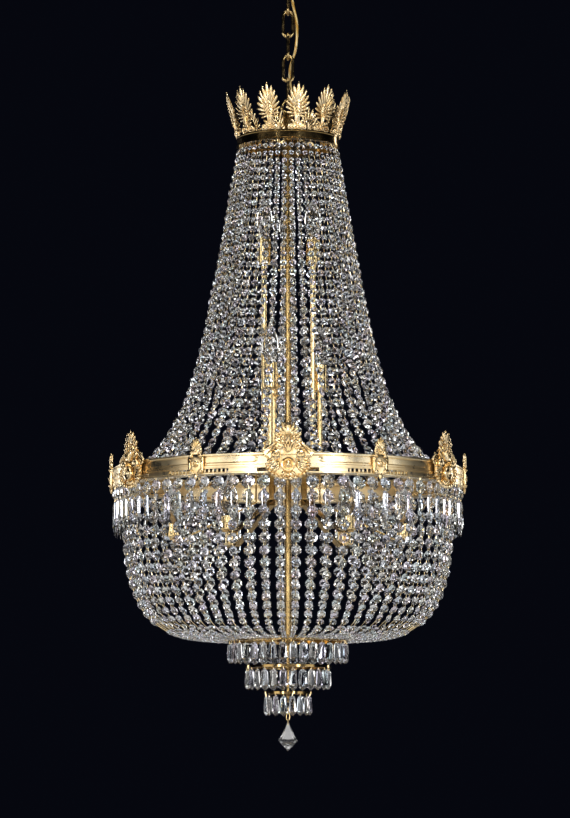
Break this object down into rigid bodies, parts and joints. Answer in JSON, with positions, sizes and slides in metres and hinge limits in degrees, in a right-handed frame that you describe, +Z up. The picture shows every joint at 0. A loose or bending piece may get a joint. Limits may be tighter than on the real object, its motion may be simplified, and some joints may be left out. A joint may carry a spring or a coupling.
{
  "type": "chandelier",
  "caption": "Basket chandelier: crystal strands fall from a crown of palmettes to a cast ring, then curve in below to stepped drops, hung on a chain from a ceiling hook.",
  "frame": {"origin": "centre of the ceiling bracket's upper face, on the ceiling plane", "axes": "+Z up; the face seen in the picture looks along -Y; +X is the viewer's right"},
  "size_m": [0.6998, 0.7038, 1.5988],
  "materials": {
    "gilt_brass": "gilt, satin with polished high points",
    "polished_brass": "polished",
    "antique_brass": "darkened, semi-polished",
    "zinc_steel": "zinc plated",
    "crystal": "cut and polished, clear",
    "lamp_glass": "clear bulb",
    "candle_card": "ivory sleeve",
    "lamp_holder": "moulded",
    "cord_gold": "translucent gold",
    "terminal_white": "moulded"
  },
  "bodies": {
    "ceiling": {"ceiling_bracket": "zinc_steel", "ceiling_hook": "antique_brass", "hook_nut": "zinc_steel", "canopy_cup": "polished_brass", "canopy_collar": "polished_brass", "terminal_block": "terminal_white", "supply_cord_1": "cord_gold"},
    "link_1": {"chain_link_1": "antique_brass", "supply_cord_2": "cord_gold"},
    "link_2": {"chain_link_2": "antique_brass", "supply_cord_3": "cord_gold"},
    "link_3": {"chain_link_3": "antique_brass", "supply_cord_4": "cord_gold"},
    "link_4": {"chain_link_4": "antique_brass", "supply_cord_5": "cord_gold"},
    "link_5": {"chain_link_5": "antique_brass"},
    "frame": {"bag_floor_strands": "crystal", "bag_strands_1": "crystal", "bag_strands_2": "crystal", "bottom_ring": "gilt_brass", "candle_bulbs": "lamp_glass", "candle_sleeves": "candle_card", "crown_band": "polished_brass", "crown_palmettes": "gilt_brass", "crown_spider": "gilt_brass", "drop_rod": "polished_brass", "fringe_drops": "crystal", "lamp_holders": "lamp_holder", "lamp_stems": "polished_brass", "lower_lamp_arms": "gilt_brass", "main_ring_plate": "gilt_brass", "ornament_screws": "zinc_steel", "ring_cartouche_1": "gilt_brass", "ring_cartouche_2": "gilt_brass", "ring_cartouche_3": "gilt_brass", "ring_cartouche_4": "gilt_brass", "ring_cartouche_5": "gilt_brass", "ring_cartouche_6": "gilt_brass", "ring_finial_1": "gilt_brass", "ring_finial_2": "gilt_brass", "ring_finial_3": "gilt_brass", "ring_finial_4": "gilt_brass", "ring_finial_5": "gilt_brass", "ring_finial_6": "gilt_brass", "ring_frieze": "polished_brass", "ring_gallery": "gilt_brass", "ring_spider": "gilt_brass", "stem_nuts": "polished_brass", "stem_tube": "polished_brass", "supply_cord_6": "cord_gold", "tent_strands_1": "crystal", "tent_strands_2": "crystal", "tier_1_drops": "crystal", "tier_2_drops": "crystal", "tier_3_drops": "crystal", "tier_rings": "gilt_brass", "top_loop": "antique_brass"},
    "drop_chain": {"drop_chain": "polished_brass"},
    "bottom_drop": {"drop_bail": "polished_brass", "bottom_drop": "crystal"}
  },
  "joints": [
    {"name": "chain_swing_1", "type": "hinge", "parent": "ceiling", "child": "link_1", "pos_m": [0, 0, -0.10539], "axis": [1, 0, 0], "range_deg": [-15, 15], "deforming": ["supply_cord_1"]},
    {"name": "chain_swing_2", "type": "hinge", "parent": "link_1", "child": "link_2", "pos_m": [0, 0, -0.14983], "axis": [0, 1, 0], "range_deg": [-15, 15], "deforming": ["supply_cord_2"]},
    {"name": "chain_swing_3", "type": "hinge", "parent": "link_2", "child": "link_3", "pos_m": [0, 0, -0.19479], "axis": [1, 0, 0], "range_deg": [-15, 15], "deforming": ["supply_cord_3"]},
    {"name": "chain_swing_4", "type": "hinge", "parent": "link_3", "child": "link_4", "pos_m": [0, 0, -0.23974], "axis": [0, 1, 0], "range_deg": [-15, 15], "deforming": ["supply_cord_4"]},
    {"name": "chain_swing_5", "type": "hinge", "parent": "link_4", "child": "link_5", "pos_m": [0, 0, -0.28469], "axis": [1, 0, 0], "range_deg": [-15, 15], "deforming": ["supply_cord_5"]},
    {"name": "chain_swing_6", "type": "hinge", "parent": "link_5", "child": "frame", "pos_m": [0, 0, -0.32964], "axis": [0, 1, 0], "range_deg": [-15, 15], "deforming": ["supply_cord_6"]},
    {"name": "drop_chain_swing", "type": "hinge", "parent": "frame", "child": "drop_chain", "pos_m": [0, 0, -1.50709], "axis": [0, 1, 0], "range_deg": [-20, 20]},
    {"name": "bottom_drop_swing", "type": "hinge", "parent": "drop_chain", "child": "bottom_drop", "pos_m": [0, 0, -1.54093], "axis": [1, 0, 0], "range_deg": [-20, 20]}
  ]
}
